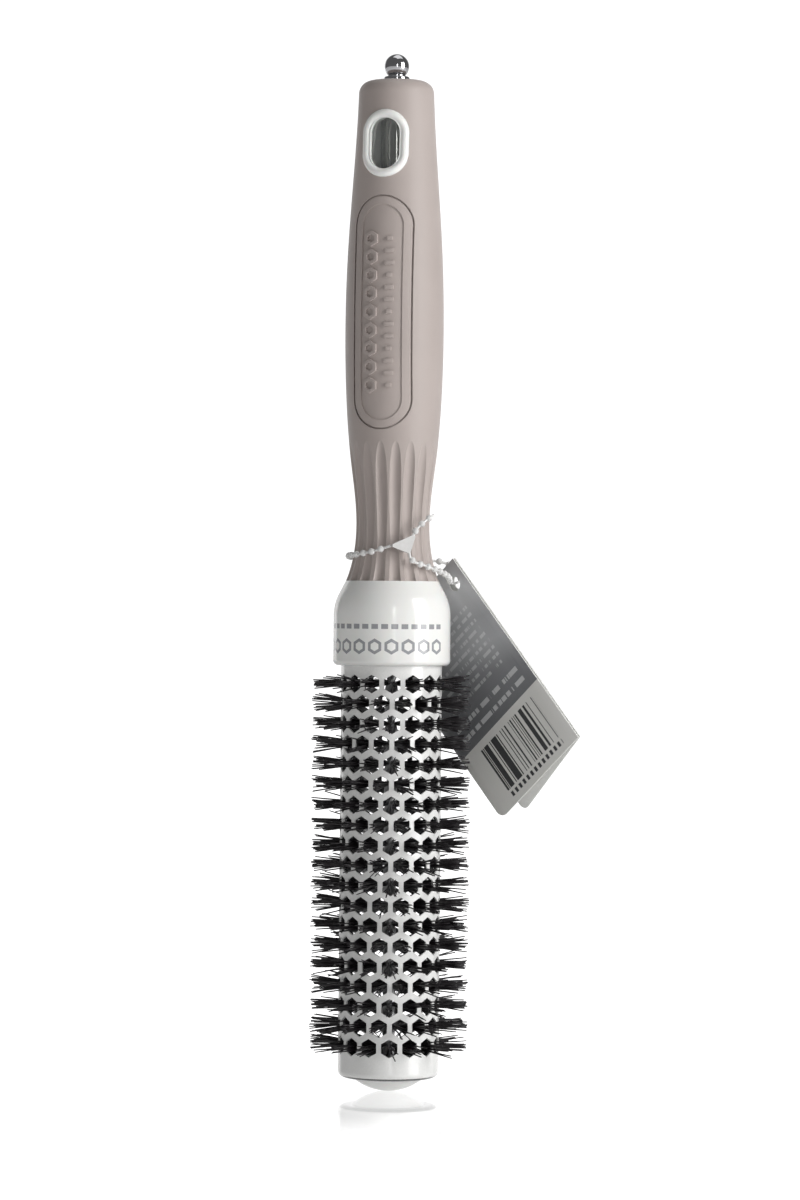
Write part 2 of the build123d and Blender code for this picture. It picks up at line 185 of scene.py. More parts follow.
# Beaded tie: one thin cord with beads moulded on, from its lock and back through it
tie = {
    "diameter": 0.66 * mm,
    "bead": 1.7 * mm,
    "pitch": 2.6 * mm,
    "holeGap": 3.2 * mm,   # no bead sits this near the tag's hole
    "lockGap": 3.8 * mm,
    "beadSides": 12,
    "beadRings": 8,
    "flat": 0.44,          # share of the bead's size where its ends are cut flat
    "crease": 35,          # degrees
}
tieRoute = [  # millimetres
    (2.9, -11.3, 134.9),
    (-0.9, -11.5, 133.6),
    (-6.2, -9.5, 132.8),
    (-10.0, -5.1, 132.5),
    (-11.3, 0.4, 132.3),
    (-9.9, 5.9, 132.0),
    (-6.0, 10.3, 131.6),
    (-1.0, 13.1, 131.6),
    (3.0, 14.9, 131.4),
    (7.6, 16.3, 131.6),
    (11.5, 18.7, 129.5),
    (13.2, 16.8, 126.4),
    (11.4, 12.1, 125.6),
    (12.6, 7.6, 127.3),
    (12.9, 1.7, 128.3),
    (11.1, -4.9, 129.8),
    (6.8, -10.2, 131.4),
    (8.0, -9.3, 138.2),
    (10.3, -6.5, 141.2),
    (11.8, -4.3, 142.6),
]


def routeCurve(name, route, radius):  # the cord, and the points of its smooth line
    curve = bpy.data.curves.new(name, "CURVE")
    curve.dimensions = "3D"
    spline = curve.splines.new("NURBS")
    spline.points.add(len(route) - 1)
    for point, place in zip(spline.points, route):
        point.co = (place[0] * mm, place[1] * mm, place[2] * mm, 1)
    spline.order_u = 3
    spline.use_endpoint_u = True
    spline.resolution_u = 12
    curve.bevel_resolution = 3
    curve.use_fill_caps = True
    obj = bpy.data.objects.new(name, curve)
    scene.collection.objects.link(obj)
    bpy.context.view_layer.update()
    line = bpy.data.meshes.new_from_object(obj)
    path = [v.co.copy() for v in line.vertices]
    bpy.data.meshes.remove(line)
    curve.bevel_depth = radius
    return obj, path


def walk(path, pitch):  # places a pitch apart along a line, each with its direction
    found, travelled, wanted = [], 0.0, pitch
    for a, b in zip(path, path[1:]):
        step = (b - a).length
        while travelled + step >= wanted:
            found.append((a.lerp(b, (wanted - travelled) / step), (b - a).normalized()))
            wanted += pitch
        travelled += step
    return found, travelled


def makeBead():
    deselectAll()
    bpy.ops.mesh.primitive_uv_sphere_add(
        segments=tie["beadSides"], ring_count=tie["beadRings"], radius=tie["bead"] / 2)
    bead = bpy.context.object
    bpy.ops.object.mode_set(mode="EDIT")
    for end in (1, -1):
        bpy.ops.mesh.select_all(action="SELECT")
        bpy.ops.mesh.bisect(
            plane_co=(0, 0, end * tie["bead"] * tie["flat"]), plane_no=(0, 0, end),
            clear_outer=True, use_fill=True)
    bpy.ops.object.mode_set(mode="OBJECT")
    bpy.ops.object.shade_smooth_by_angle(angle=math.radians(tie["crease"]))
    return bead


milky = milkyPolypropylene()
tieCord, tiePath = routeCurve("tieCord", tieRoute, tie["diameter"] / 2)
beadPlaces, tieLength = walk(tiePath, tie["pitch"])
holeCentre = Vector(joints["tag_swing"]["pos_m"])
lockLow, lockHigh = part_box("tie_lock")
lockCentre = (lockLow + lockHigh) / 2
bead = makeBead()
beads = []
for place, along in beadPlaces:
    if (place - holeCentre).length < tie["holeGap"] or (place - lockCentre).length < tie["lockGap"]:
        continue
    turned = along.to_track_quat("Z", "Y").to_matrix().to_4x4()
    beads.append(copyPiece(bead, "bead", Matrix.Translation(place) @ turned))
bpy.data.objects.remove(bead)
tieBeads = joinPieces(beads, "tieBeads")
for piece, node in ((tieCord, "tie_string"), (tieBeads, "tie_beads")):
    setMaterial(piece, milky)
    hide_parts(node)
    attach(piece, "tie")
print("tie ready, length in mm:", round(tieLength / mm, 1))


# Swing tag: one card folded in two, its leaves a little open
card = {
    "width": 34.0 * mm,
    "length": 57.0 * mm,
    "thickness": 0.35 * mm,
    "gap": 0.3 * mm,
    "corner": 2.3 * mm,
    "holeIn": 4.0 * mm,
    "holeDown": 5.0 * mm,
    "hole": 3.6 * mm,
    "edge": 0.05 * mm,
    "opening": 13.0,           # degrees between the leaves
    "frontCurl": -0.15 * mm,   # how far a free edge lifts
    "backCurl": -0.2 * mm,
    "strips": 12,
    "cornerSides": 8,
    "holeSides": 40,
    "crease": 30,
}
cardPrint = {  # millimetres from the fold and from the top
    "inks": ("#B4B5B7", "#C6C7C9", "#9C9DA0", "#A3A4A7", "#838487", "#6C6D70"),
    "inkPlaces": (0.14, 0.3, 0.42, 0.55, 0.75),  # shares of the length, after the first
    "slant": 0.006,
    "strokeInk": "#E2E3E3",
    "strokes": (
        {"pitch": 2.1, "top": 10.0, "bottom": 30.0, "left": 5.0, "right": 29.0,
         "scale": 1.1, "strength": 0.4},
        {"pitch": 3.1, "top": 31.4, "bottom": 37.6, "left": 3.0, "right": 30.0,
         "scale": 0.75, "strength": 0.6},
    ),
    "strokeHeight": 0.2,      # half of it, as a share of the pitch
    "wordShift": 7.3,         # keeps one line's words unlike the next one's
    "wordShare": 0.47,        # higher leaves fewer words
    "paleTop": 38.6,
    "paleInk": "#D8D7D3",
    "darkInk": "#303032",
    "barStep": 0.3,
    "barWarp": 2.0,
    "barShare": 0.48,
    "barRow": (46.9, 6.3),    # middle and half height
    "barSpan": (16.0, 11.5),  # middle and half width
    "tickPitch": 1.7,
    "tickWidth": 0.26,
    "tickRow": (54.6, 0.65),
}


# Coated card, offset printed and varnished: satin grey ink with a soft sheen, paler in a band near the
# top, with rows of short strokes in place of words and upright bars on a pale ground
def printedCard():
    material, tree, shader = newMaterial("varnishedPrintedCard")
    place = addNode(tree, "UVMap", {}, "UV", uv_map="print")  # millimetres from the fold and the top
    across = addNode(tree, "SeparateXYZ", {"Vector": place}, "X")
    down = addNode(tree, "SeparateXYZ", {"Vector": place}, "Y")
    share = addNode(tree, "Math", {0: down, 1: card["length"] / mm}, operation="DIVIDE")
    slope = addNode(tree, "Math", {0: across, 1: cardPrint["slant"]}, operation="MULTIPLY")
    slanted = addNode(tree, "Math", {0: share, 1: slope}, operation="ADD")
    ramp = tree.nodes.new("ShaderNodeValToRGB")
    tree.links.new(slanted, ramp.inputs["Fac"])
    stops = list(zip(cardPrint["inkPlaces"], cardPrint["inks"][1:]))
    ramp.color_ramp.elements[0].color = hexColor(cardPrint["inks"][0])
    ramp.color_ramp.elements[1].position = stops[-1][0]
    ramp.color_ramp.elements[1].color = hexColor(stops[-1][1])
    for position, color in stops[:-1]:
        ramp.color_ramp.elements.new(position).color = hexColor(color)
    ink = ramp.outputs["Color"]

    # strokes in lines: a noise that is steady down each line breaks it into words
    for row in cardPrint["strokes"]:
        line = addNode(tree, "Math", {0: down, 1: row["pitch"]}, operation="DIVIDE")
        part = addNode(tree, "Math", {0: line}, operation="FRACT")
        number = addNode(tree, "Math", {0: line}, operation="FLOOR")
        onLine = addNode(tree, "Math", {0: part, 1: 0.5, 2: cardPrint["strokeHeight"]}, operation="COMPARE")
        shift = addNode(tree, "Math", {0: number, 1: cardPrint["wordShift"]}, operation="MULTIPLY")
        spot = addNode(tree, "CombineXYZ", {"X": across, "Y": shift}, "Vector")
        words = addNode(tree, "TexNoise", {"Vector": spot, "Scale": row["scale"], "Detail": 4.0}, "Fac")
        inWord = addNode(tree, "Math", {0: words, 1: cardPrint["wordShare"]}, operation="GREATER_THAN")
        inHeight = addNode(tree, "Math", {
            0: down, 1: (row["top"] + row["bottom"]) / 2, 2: (row["bottom"] - row["top"]) / 2},
            operation="COMPARE")
        inWidth = addNode(tree, "Math", {
            0: across, 1: (row["left"] + row["right"]) / 2, 2: (row["right"] - row["left"]) / 2},
            operation="COMPARE")
        stroke = addNode(tree, "Math", {0: onLine, 1: inWord}, operation="MULTIPLY")
        block = addNode(tree, "Math", {0: inHeight, 1: inWidth}, operation="MULTIPLY")
        shown = addNode(tree, "Math", {0: stroke, 1: block}, operation="MULTIPLY")
        faded = addNode(tree, "Math", {0: shown, 1: row["strength"]}, operation="MULTIPLY")
        ink = addNode(tree, "Mix", {
            "Factor": faded, "A": ink, "B": hexColor(cardPrint["strokeInk"])}, "Result", data_type="RGBA")

    pale = addNode(tree, "Math", {0: down, 1: cardPrint["paleTop"]}, operation="GREATER_THAN")
    ground = addNode(tree, "Mix", {
        "Factor": pale, "A": ink, "B": hexColor(cardPrint["paleInk"])}, "Result", data_type="RGBA")

    # upright bars of uneven width, with a row of short ticks under them
    barMiddle, barReach = cardPrint["barSpan"]
    rowMiddle, rowReach = cardPrint["barRow"]
    tickMiddle, tickReach = cardPrint["tickRow"]
    warp = addNode(
        tree, "TexNoise", {"W": across, "Scale": 0.5, "Detail": 1.0}, "Fac", noise_dimensions="1D")
    bent = addNode(tree, "Math", {0: warp, 1: cardPrint["barWarp"], 2: across}, operation="MULTIPLY_ADD")
    step = addNode(tree, "Math", {0: bent, 1: cardPrint["barStep"]}, operation="DIVIDE")
    number = addNode(tree, "Math", {0: step}, operation="FLOOR")
    chance = addNode(tree, "TexWhiteNoise", {"W": number}, "Value", noise_dimensions="1D")
    dark = addNode(tree, "Math", {0: chance, 1: cardPrint["barShare"]}, operation="GREATER_THAN")
    inHeight = addNode(tree, "Math", {0: down, 1: rowMiddle, 2: rowReach}, operation="COMPARE")
    inWidth = addNode(tree, "Math", {0: across, 1: barMiddle, 2: barReach}, operation="COMPARE")
    bars = addNode(tree, "Math", {0: dark, 1: inHeight}, operation="MULTIPLY")
    bars = addNode(tree, "Math", {0: bars, 1: inWidth}, operation="MULTIPLY")
    tick = addNode(tree, "Math", {0: across, 1: cardPrint["tickPitch"]}, operation="DIVIDE")
    tickPart = addNode(tree, "Math", {0: tick}, operation="FRACT")
    onTick = addNode(tree, "Math", {0: tickPart, 1: 0.5, 2: cardPrint["tickWidth"]}, operation="COMPARE")
    tickRow = addNode(tree, "Math", {0: down, 1: tickMiddle, 2: tickReach}, operation="COMPARE")
    ticks = addNode(tree, "Math", {0: onTick, 1: tickRow}, operation="MULTIPLY")
    ticks = addNode(tree, "Math", {0: ticks, 1: inWidth}, operation="MULTIPLY")
    printMarks = addNode(tree, "Math", {0: bars, 1: ticks}, operation="MAXIMUM")
    final = addNode(tree, "Mix", {
        "Factor": printMarks, "A": ground, "B": hexColor(cardPrint["darkInk"])}, "Result", data_type="RGBA")
    tree.links.new(final, shader.inputs["Base Color"])
    shader.inputs["Roughness"].default_value = 0.36
    shader.inputs["Coat Weight"].default_value = 0.2
    shader.inputs["Coat Roughness"].default_value = 0.28
    return material


# The card's inner side and its cut edge: uncoated, pale and a little fibrous
def plainCard():
    material, tree, shader = newMaterial("uncoatedCard")
    place = addNode(tree, "TexCoord", {}, "Object")
    fibre = addNode(tree, "TexNoise", {"Vector": place, "Scale": perMm(0.5), "Detail": 4.0}, "Fac")
    tone = addNode(tree, "Mix", {
        "Factor": fibre, "A": hexColor("#DADAD7"), "B": hexColor("#EEEEEB")}, "Result", data_type="RGBA")
    tree.links.new(tone, shader.inputs["Base Color"])
    shader.inputs["Roughness"].default_value = 0.7
    bump = addNode(tree, "Bump", {"Height": fibre, "Strength": 0.3, "Distance": 0.02 * mm}, "Normal")
    tree.links.new(bump, shader.inputs["Normal"])
    return material


def makeLeaf(name, side, curl):
    # flat first: x from the fold to the free edge, y down the fold, z out of the front
    deselectAll()
    bpy.ops.mesh.primitive_plane_add(size=1, location=(card["width"] / 2, card["length"] / 2, 0))
    leaf = bpy.context.object
    leaf.name = name
    leaf.scale = (card["width"], card["length"], 1)
    settle(leaf)
    bpy.ops.object.mode_set(mode="EDIT")
    bpy.ops.mesh.select_mode(type="VERT")
    bpy.ops.mesh.select_all(action="DESELECT")
    bpy.ops.object.mode_set(mode="OBJECT")
    for v in leaf.data.vertices:
        v.select = v.co.x > card["width"] / 2
    bpy.ops.object.mode_set(mode="EDIT")
    bpy.ops.mesh.bevel(offset=card["corner"], segments=card["cornerSides"], affect="VERTICES")
    for i in range(1, card["strips"]):
        bpy.ops.mesh.select_all(action="SELECT")
        bpy.ops.mesh.bisect(plane_co=(card["width"] * i / card["strips"], 0, 0), plane_no=(1, 0, 0))
    bpy.ops.object.mode_set(mode="OBJECT")
    thick = leaf.modifiers.new("thickness", "SOLIDIFY")
    thick.thickness = card["thickness"]
    thick.offset = side
    applyModifiers(leaf)

    deselectAll()
    bpy.ops.mesh.primitive_cylinder_add(
        vertices=card["holeSides"], radius=card["hole"] / 2, depth=4 * mm,
        location=(card["holeIn"], card["holeDown"], 0))
    punch = bpy.context.object
    cut = leaf.modifiers.new("punch", "BOOLEAN")
    cut.object = punch
    cut.operation = "DIFFERENCE"
    applyModifiers(leaf)
    bpy.data.objects.remove(punch)
    soften = leaf.modifiers.new("soften", "BEVEL")
    soften.width = card["edge"]
    soften.segments = 2
    soften.limit_method = "ANGLE"
    applyModifiers(leaf)
    bpy.ops.object.shade_smooth_by_angle(angle=math.radians(card["crease"]))

    for layer in list(leaf.data.uv_layers):
        leaf.data.uv_layers.remove(layer)
    uv = leaf.data.uv_layers.new(name="print")
    for loop in leaf.data.loops:
        co = leaf.data.vertices[loop.vertex_index].co
        uv.data[loop.index].uv = (co.x / mm, co.y / mm)
    for v in leaf.data.vertices:
        v.co.z += curl * (v.co.x / card["width"]) ** 2 + side * card["gap"] / 2
    return leaf


def hangLeaf(leaf, side, opening, node, body):
    leaf.data.materials.clear()
    leaf.data.materials.append(inside)
    leaf.data.materials.append(printed)
    for face in leaf.data.polygons:
        face.material_index = 1 if face.normal.z * side > 0.9 else 0
    foldPlace = Vector(joints["tag_fold"]["pos_m"])
    foldDir = Vector(joints["tag_fold"]["axis"]).normalized()
    front = Matrix.Rotation(math.radians(opening), 3, foldDir) @ Vector(joints["tag_swing"]["axis"])
    front.normalize()
    basis = Matrix((foldDir.cross(front), foldDir, front)).transposed().to_4x4()
    leaf.data.transform(Matrix.Translation(foldPlace) @ basis)
    leaf.data.update()
    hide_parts(node)
    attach(leaf, body)


printed = printedCard()
inside = plainCard()
frontLeaf = makeLeaf("tagFrontLeaf", 1, card["frontCurl"])
hangLeaf(frontLeaf, 1, 0, "tag_front_leaf", "tag")
backLeaf = makeLeaf("tagBackLeaf", -1, card["backCurl"])
hangLeaf(backLeaf, -1, card["opening"], "tag_back_leaf", "tag_back")
print("tag ready")


# White paint filled with ceramic powder, sprayed on aluminium and baked: glossy, with faint orange peel
def ceramicPaint(boreShadeRadius):
    material, tree, shader = newMaterial("bakedCeramicPaint")
    place = addNode(tree, "TexCoord", {}, "Object")
    peel = addNode(tree, "TexNoise", {"Vector": place, "Scale": perMm(1.4), "Detail": 2.0}, "Fac")
    grain = addNode(tree, "TexNoise", {"Vector": place, "Scale": perMm(0.35), "Detail": 1.0}, "Fac")
    tone = addNode(tree, "Mix", {
        "Factor": grain, "A": hexColor("#E4E4E2"), "B": hexColor("#F0F0EE")}, "Result", data_type="RGBA")
    # the white coat colour reaches the outside and the edges of the holes; the bore is coloured dark grey
    # as painted shade inside the barrel
    flat = addNode(tree, "VectorMath", {0: place, 1: (1, 1, 0)}, operation="MULTIPLY")
    outward = addNode(tree, "VectorMath", {0: flat}, "Value", operation="LENGTH")
    coatNotBoreShade = addNode(tree, "Math", {0: outward, 1: boreShadeRadius}, operation="GREATER_THAN")
    color = addNode(tree, "Mix", {
        "Factor": coatNotBoreShade, "A": hexColor("#4A4A4B"), "B": tone}, "Result", data_type="RGBA")
    tree.links.new(color, shader.inputs["Base Color"])
    shader.inputs["Roughness"].default_value = 0.26
    shader.inputs["Coat Weight"].default_value = 0.5
    shader.inputs["Coat Roughness"].default_value = 0.06
    bump = addNode(tree, "Bump", {"Height": peel, "Strength": 0.35, "Distance": 0.02 * mm}, "Normal")
    tree.links.new(bump, shader.inputs["Normal"])
    return material


# ABS from a polished mould: even colour, sharp highlights, slight sink ripple
def mouldedAbs(name, color, roughness):
    material, tree, shader = newMaterial(name)
    place = addNode(tree, "TexCoord", {}, "Object")
    ripple = addNode(tree, "TexNoise", {"Vector": place, "Scale": perMm(6), "Detail": 2.0}, "Fac")
    shader.inputs["Base Color"].default_value = hexColor(color)
    shader.inputs["Roughness"].default_value = roughness
    shader.inputs["IOR"].default_value = 1.53
    shader.inputs["Subsurface Weight"].default_value = 0.05
    shader.inputs["Subsurface Scale"].default_value = 2 * mm
    bump = addNode(tree, "Bump", {"Height": ripple, "Strength": 0.12, "Distance": 0.05 * mm}, "Normal")
    tree.links.new(bump, shader.inputs["Normal"])
    return material


# The collar is the same ABS, pad printed with a band of hexagons under a band of dashes
collarLow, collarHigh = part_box("collar")
collarBand = {
    "white": "#EFEFEC",
    "ink": "#9B9C9F",
    "radius": collarHigh.x / mm,
    "middle": -2.1,          # millimetres round from the window side
    "reach": 21.0,
    "hexHeight": collarLow.z / mm + 4.8,
    "hexPitch": 4.2,
    "hexSize": 1.7,
    "hexLine": 0.7,
    "dashHeight": collarLow.z / mm + 9.7,
    "dashPitch": 2.5,
    "dashLength": 0.85,      # half sizes
    "dashWidth": 0.6,
}


def printedAbs(band):
    material = mouldedAbs("padPrintedAbs", band["white"], 0.16)
    tree = material.node_tree
    shader = tree.nodes["Principled BSDF"]
    place = addNode(tree, "TexCoord", {}, "Object")
    sideways = addNode(tree, "SeparateXYZ", {"Vector": place}, "X")
    depth = addNode(tree, "SeparateXYZ", {"Vector": place}, "Y")
    height = addNode(tree, "SeparateXYZ", {"Vector": place}, "Z")
    near = addNode(tree, "Math", {0: depth, 1: -1.0}, operation="MULTIPLY")
    angle = addNode(tree, "Math", {0: sideways, 1: near}, operation="ARCTAN2")
    along = addNode(tree, "Math", {0: angle, 1: band["radius"]}, operation="MULTIPLY")
    level = addNode(tree, "Math", {0: height, 1: 1 / mm}, operation="MULTIPLY")

    # a hexagon is where both the flat and the slanted distance are small
    across = addNode(tree, "Math", {0: along, 1: band["hexPitch"] / 2}, operation="PINGPONG")
    above = addNode(tree, "Math", {0: level, 1: band["hexHeight"]}, operation="SUBTRACT")
    upDown = addNode(tree, "Math", {0: above}, operation="ABSOLUTE")
    part = addNode(tree, "Math", {0: upDown, 1: math.sin(math.radians(60))}, operation="MULTIPLY")
    slant = addNode(tree, "Math", {0: across, 1: 0.5, 2: part}, operation="MULTIPLY_ADD")
    reach = addNode(tree, "Math", {0: across, 1: slant}, operation="MAXIMUM")
    ring = addNode(tree, "Math", {
        0: reach, 1: band["hexSize"] - band["hexLine"] / 2, 2: band["hexLine"] / 2}, operation="COMPARE")

    dashPart = addNode(tree, "Math", {0: along, 1: band["dashPitch"] / 2}, operation="PINGPONG")
    inDash = addNode(tree, "Math", {0: dashPart, 1: band["dashLength"]}, operation="LESS_THAN")
    inRow = addNode(tree, "Math", {
        0: level, 1: band["dashHeight"], 2: band["dashWidth"]}, operation="COMPARE")
    dash = addNode(tree, "Math", {0: inDash, 1: inRow}, operation="MULTIPLY")
    marks = addNode(tree, "Math", {0: ring, 1: dash}, operation="MAXIMUM")
    inBand = addNode(tree, "Math", {0: along, 1: band["middle"], 2: band["reach"]}, operation="COMPARE")
    shown = addNode(tree, "Math", {0: marks, 1: inBand}, operation="MULTIPLY")
    tone = addNode(tree, "Mix", {
        "Factor": shown, "A": hexColor(band["white"]), "B": hexColor(band["ink"])},
        "Result", data_type="RGBA")
    tree.links.new(tone, shader.inputs["Base Color"])
    return material


# Thermoplastic rubber from an etched mould: soft and dull, with a fine even grain
def softGrip():
    material, tree, shader = newMaterial("softTouchRubber")
    place = addNode(tree, "TexCoord", {}, "Object")
    # the etched grain is about 0.1 mm, drawn twice as coarse so that it shows
    grain = addNode(tree, "TexNoise", {"Vector": place, "Scale": perMm(0.22), "Detail": 2.0}, "Fac")
    cloud = addNode(tree, "TexNoise", {"Vector": place, "Scale": perMm(14), "Detail": 3.0}, "Fac")
    tone = addNode(tree, "Mix", {
        "Factor": cloud, "A": hexColor("#A89D98"), "B": hexColor("#B4A9A4")}, "Result", data_type="RGBA")
    rough = addNode(tree, "MapRange", {"Value": cloud, "To Min": 0.46, "To Max": 0.6}, "Result")
    bump = addNode(tree, "Bump", {"Height": grain, "Strength": 0.5, "Distance": 0.02 * mm}, "Normal")
    tree.links.new(tone, shader.inputs["Base Color"])
    tree.links.new(rough, shader.inputs["Roughness"])
    tree.links.new(bump, shader.inputs["Normal"])
    shader.inputs["Sheen Weight"].default_value = 0.2
    shader.inputs["Sheen Roughness"].default_value = 0.5
    return material


# Extruded nylon filament: near black and smooth, with a narrow shine along each bristle
def nylonFilament():
    material, tree, shader = newMaterial("extrudedNylon")
    place = addNode(tree, "TexCoord", {}, "Object")
    batch = addNode(tree, "TexNoise", {"Vector": place, "Scale": perMm(1.0), "Detail": 1.0}, "Fac")
    tone = addNode(tree, "Mix", {
        "Factor": batch, "A": hexColor("#0C080B"), "B": hexColor("#1B151A")}, "Result", data_type="RGBA")
    tree.links.new(tone, shader.inputs["Base Color"])
    shader.inputs["Roughness"].default_value = 0.34
    shader.inputs["IOR"].default_value = 1.53
    return material


# Chrome plate over polished steel: a mirror with hairline wipe marks
def chromePlate():
    material, tree, shader = newMaterial("chromePlate")
    place = addNode(tree, "TexCoord", {}, "Object")
    drawn = addNode(tree, "Mapping", {"Vector": place, "Scale": (1.0, 1.0, 0.06)}, "Vector")
    wipe = addNode(tree, "TexNoise", {"Vector": drawn, "Scale": perMm(0.3), "Detail": 3.0}, "Fac")
    rough = addNode(tree, "MapRange", {"Value": wipe, "To Min": 0.04, "To Max": 0.11}, "Result")
    tree.links.new(rough, shader.inputs["Roughness"])
    shader.inputs["Base Color"].default_value = hexColor("#C6C6C9")
    shader.inputs["Metallic"].default_value = 1.0
    return material


# Guide tube: steel drawn thin, with streaks along the draw; its colour is darker than the plated pieces as
# painted shade for the dark cavity round it
def drawnTubeInShade():
    material, tree, shader = newMaterial("drawnSteelTubeInShade")
    place = addNode(tree, "TexCoord", {}, "Object")
    drawn = addNode(tree, "Mapping", {"Vector": place, "Scale": (1.0, 1.0, 0.05)}, "Vector")
    streak = addNode(tree, "TexNoise", {"Vector": drawn, "Scale": perMm(0.5), "Detail": 3.0}, "Fac")
    tone = addNode(tree, "Mix", {
        "Factor": streak, "A": hexColor("#7A7B78"), "B": hexColor("#9A9B97")}, "Result", data_type="RGBA")
    rough = addNode(tree, "MapRange", {"Value": streak, "To Min": 0.05, "To Max": 0.12}, "Result")
    tree.links.new(tone, shader.inputs["Base Color"])
    tree.links.new(rough, shader.inputs["Roughness"])
    shader.inputs["Metallic"].default_value = 1.0
    return material


# Drawn steel wire: bright, streaked along its twist
def drawnWire():
    material, tree, shader = newMaterial("drawnSteelWire")
    place = addNode(tree, "TexCoord", {}, "Object")
    streak = addNode(tree, "TexNoise", {"Vector": place, "Scale": perMm(0.4), "Detail": 3.0}, "Fac")
    rough = addNode(tree, "MapRange", {"Value": streak, "To Min": 0.25, "To Max": 0.45}, "Result")
    tree.links.new(rough, shader.inputs["Roughness"])
    shader.inputs["Base Color"].default_value = hexColor("#A9A9AA")
    shader.inputs["Metallic"].default_value = 1.0
    return material


# Clear polycarbonate, thin and polished: seen through almost whole, with clean reflections
def clearPolycarbonate():
    material, tree, shader = newMaterial("polishedPolycarbonate")
    place = addNode(tree, "TexCoord", {}, "Object")
    haze = addNode(tree, "TexNoise", {"Vector": place, "Scale": perMm(2.5), "Detail": 2.0}, "Fac")
    rough = addNode(tree, "MapRange", {"Value": haze, "To Min": 0.02, "To Max": 0.06}, "Result")
    tree.links.new(rough, shader.inputs["Roughness"])
    shader.inputs["Base Color"].default_value = hexColor("#EEF3F0")
    shader.inputs["IOR"].default_value = 1.58
    shader.inputs["Alpha"].default_value = 0.07
    return material


# Mouldings and rubber that stay inside: dull, with a fine spark-eroded grain
def plainMoulding(name, color, roughness):
    material, tree, shader = newMaterial(name)
    place = addNode(tree, "TexCoord", {}, "Object")
    grain = addNode(tree, "TexNoise", {"Vector": place, "Scale": perMm(0.3), "Detail": 2.0}, "Fac")
    shader.inputs["Base Color"].default_value = hexColor(color)
    shader.inputs["Roughness"].default_value = roughness
    bump = addNode(tree, "Bump", {"Height": grain, "Strength": 0.3, "Distance": 0.02 * mm}, "Normal")
    tree.links.new(bump, shader.inputs["Normal"])
    return material


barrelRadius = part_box("barrel_tube")[1].x
boreShadeDepth = 0.42 * mm  # how far in from the outside the white coat colour reaches; deeper in, the bore is painted dark grey as shade
rubber = softGrip()
nylon = nylonFilament()
chrome = chromePlate()
bezelAbs = mouldedAbs("polishedAbsBezel", "#F1F1EE", 0.15)
coreMoulding = plainMoulding("mouldedAbsCore", "#D6D7D4", 0.45)
bushMoulding = plainMoulding("mouldedAcetalBush", "#8E8C8A", 0.4)
cadFinish = {
    "barrel_tube": ceramicPaint(barrelRadius - boreShadeDepth),
    "tip_cap": mouldedAbs("polishedAbsCap", "#E2E2E0", 0.2),
    "core_wire": drawnWire(),
    "barrel_plug": coreMoulding,
    "collar": printedAbs(collarBand),
    "handle_core": coreMoulding,
    "grip": rubber,
    "window_bezel": bezelAbs,
    "window_lens": clearPolycarbonate(),
    "guide_tube": drawnTubeInShade(),
    "guide_bush": bushMoulding,
    "friction_ring": plainMoulding("mouldedNitrileRing", "#1A1A1B", 0.55),
    "pick_knob": chrome,
    "pick_rod": chrome,
    "pick_stop": bushMoulding,
    "tie_lock": milky,
}
for name, material in cadFinish.items():
    setMaterial(nodes[name], material)
print("finishes ready")


# Tufts: every hole lets out a bundle of bristles, held at the wire and loose at its tips
tuft = {
    "radius": 0.17 * mm,
    "sides": 4,
    "rings": 6,
    "bristles": 10,
    "clumps": 4,              # bristles gather in clumps, with gaps between
    "clumpReach": 0.85,       # how far a clump's middle may lie from the bundle's, as a share of it
    "loose": 0.3,             # how far a bristle strays from its clump, as a share of the bundle
    "blunt": 0.8,             # a tip's width as a share of the rest
    "missing": 6,             # higher leaves out fewer bristles
    "variants": 12,
    "root": 1.8 * mm,         # distance from the axis where the bundle starts
    "tip": 19.75 * mm,
    "rootBundle": 0.3 * mm,   # half width of the bundle there
    "wallBundle": 1.05 * mm,
    "spread": (0.8, 2.0),     # how much wider the bundle is at its tips than at the wall
    "stray": 0.3 * mm,
    "crimp": 0.06 * mm,
    "waves": 9,               # radians of wave along a bristle
    "short": 0.44 * mm,       # how much shorter than the rest a bristle may be
    "perRow": 15,
    "firstHole": 18.0,        # degrees round from the window side
    "seed": 41,
}


rng = random.Random(tuft["seed"])


def makeBristle(length):  # a four-sided rod along x with rings to bend at and a narrowed tip
    deselectAll()
    bpy.ops.mesh.primitive_cylinder_add(
        vertices=tuft["sides"], radius=tuft["radius"], depth=length, end_fill_type="NGON",
        location=(length / 2, 0, 0), rotation=(0, math.pi / 2, 0))
    rod = bpy.context.object
    settle(rod)
    bpy.ops.object.mode_set(mode="EDIT")
    for i in range(1, tuft["rings"]):
        bpy.ops.mesh.select_all(action="SELECT")
        bpy.ops.mesh.bisect(plane_co=(length * i / tuft["rings"], 0, 0), plane_no=(1, 0, 0))
    bpy.ops.mesh.select_mode(type="VERT")
    bpy.ops.mesh.select_all(action="DESELECT")
    bpy.ops.object.mode_set(mode="OBJECT")
    for v in rod.data.vertices:
        v.select = v.co.x > length * 0.999
    bpy.ops.object.mode_set(mode="EDIT")
    bpy.ops.transform.resize(value=(1, tuft["blunt"], tuft["blunt"]), center_override=(length, 0, 0))
    bpy.ops.object.mode_set(mode="OBJECT")
    return rod


